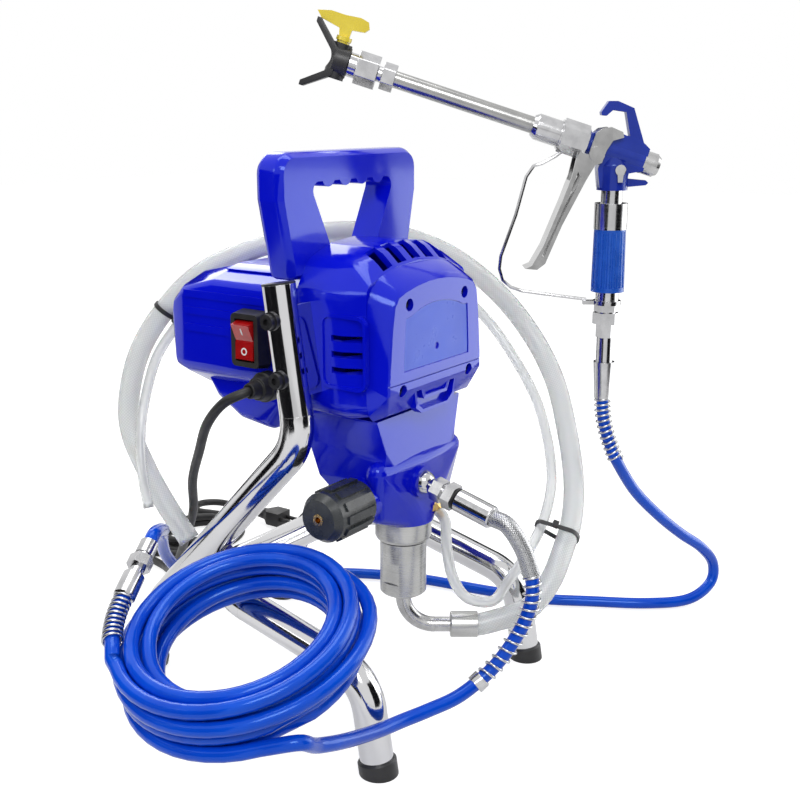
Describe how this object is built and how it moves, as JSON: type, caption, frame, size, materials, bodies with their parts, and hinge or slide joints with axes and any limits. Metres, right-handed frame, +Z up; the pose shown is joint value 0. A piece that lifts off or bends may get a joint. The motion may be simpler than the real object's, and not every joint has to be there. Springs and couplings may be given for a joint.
{
  "type": "airless paint sprayer",
  "caption": "Electric airless paint sprayer on a tube stand, with a pump, pressure knob, suction hose, coiled paint hose and a pole spray gun.",
  "frame": {"origin": "point on the floor in the middle plane, below the front of the stand", "axes": "+Z up from the floor, +Y from the cover at the front to the motor at the rear, +X to the side away from the switch"},
  "size_m": [0.6071, 0.6067, 0.5554],
  "materials": {
    "housing_blue": "glossy",
    "chrome_tube": "polished",
    "bracket_chrome": "polished",
    "dark_screw": "satin",
    "black_plastic": "satin",
    "rubber_black": "matt",
    "pump_steel": "satin",
    "brass": "satin",
    "clear_hose": "clear with a fine braid",
    "braided_steel": "woven",
    "blue_hose": "glossy",
    "red_rocker": "translucent",
    "gun_cast": "bright cast",
    "pole_steel": "brushed",
    "blue_plastic": "satin",
    "seal_white": "matt",
    "tip_yellow": "glossy"
  },
  "bodies": {
    "machine": {"gear_housing": "housing_blue", "front_cover": "housing_blue", "cover_screws": "dark_screw", "motor_housing": "housing_blue", "lower_cover": "housing_blue", "pump_block": "housing_blue", "carry_handle": "housing_blue", "upright_left": "chrome_tube", "upright_right": "chrome_tube", "base_frame": "chrome_tube", "upright_brackets": "bracket_chrome", "frame_bolts": "dark_screw", "tube_caps": "black_plastic", "pump_flange": "pump_steel", "pump_seal": "rubber_black", "pump_cylinder": "pump_steel", "inlet_elbow": "pump_steel", "suction_ferrule": "pump_steel", "suction_hose": "clear_hose", "return_fitting": "brass", "return_hose": "clear_hose", "hose_ties": "black_plastic", "outlet_fitting": "pump_steel", "outlet_seal": "seal_white", "outlet_ferrule": "pump_steel", "outlet_braid": "braided_steel", "outlet_spring": "pump_steel", "outlet_clamp": "pump_steel", "paint_hose": "blue_hose", "hose_coil": "blue_hose", "coil_spring": "pump_steel", "coil_fitting": "pump_steel", "whip_hose": "blue_hose", "whip_spring": "pump_steel", "whip_fitting": "pump_steel", "switch_body": "black_plastic", "cord_gland": "rubber_black", "power_cord": "rubber_black", "cord_bundle": "rubber_black", "power_plug": "rubber_black"},
    "rocker": {"switch_rocker": "red_rocker"},
    "knob": {"pressure_knob": "black_plastic", "knob_insert": "brass"},
    "rotor": {"motor_rotor": "pump_steel"},
    "gear": {"drive_gear": "pump_steel"},
    "gun": {"gun_body": "gun_cast", "gun_rear_nut": "pump_steel", "gun_grip": "blue_plastic", "gun_sleeve": "blue_plastic", "gun_swivel": "pump_steel", "trigger_guard": "pump_steel", "pole_nut": "pump_steel", "pole_tube": "pole_steel", "tip_fitting": "pump_steel"},
    "trigger": {"trigger": "gun_cast"},
    "lock": {"trigger_lock": "pump_steel"},
    "guard": {"tip_guard": "black_plastic"},
    "tip": {"tip_handle": "tip_yellow"}
  },
  "joints": [
    {"name": "switch_rock", "type": "hinge", "parent": "machine", "child": "rocker", "pos_m": [-0.068, 0.156, 0.302], "axis": [0, 1, 0], "range_deg": [0, 14]},
    {"name": "pressure_turn", "type": "hinge", "parent": "machine", "child": "knob", "pos_m": [-0.058, 0.06, 0.184], "axis": [-1, 0, 0], "range_deg": [0, 270]},
    {"name": "rotor_spin", "type": "hinge", "parent": "machine", "child": "rotor", "pos_m": [0, 0.15, 0.3], "axis": [0, 1, 0], "continuous": true},
    {"name": "gear_spin", "type": "hinge", "parent": "machine", "child": "gear", "pos_m": [0, 0.09, 0.27375], "axis": [0, 1, 0], "continuous": true},
    {"name": "gun_swivel_turn", "type": "hinge", "parent": "machine", "child": "gun", "pos_m": [0.189, -0.026, 0.295], "axis": [0, 0, 1], "continuous": true},
    {"name": "trigger_pull", "type": "hinge", "parent": "gun", "child": "trigger", "pos_m": [0.17982, -0.01289, 0.44], "axis": [-0.8192, -0.5736, 0], "range_deg": [0, 12], "stiffness_Nm_per_rad": 0.6, "springref_deg": -5.73},
    {"name": "lock_turn", "type": "hinge", "parent": "gun", "child": "lock", "pos_m": [0.19129, -0.02928, 0.427], "axis": [-0.8192, -0.5736, 0], "range_deg": [0, 90]},
    {"name": "guard_turn", "type": "hinge", "parent": "gun", "child": "guard", "pos_m": [0.06125, 0.15645, 0.51258], "axis": [-0.5464, 0.7804, 0.304], "range_deg": [-90, 90]},
    {"name": "tip_turn", "type": "hinge", "parent": "guard", "child": "tip", "pos_m": [0.05633, 0.16348, 0.51532], "axis": [0.1744, -0.249, 0.9527], "range_deg": [0, 180]}
  ],
  "couplings": [
    {"joint": "gear_spin", "follows": "rotor_spin", "ratio": -0.4}
  ]
}
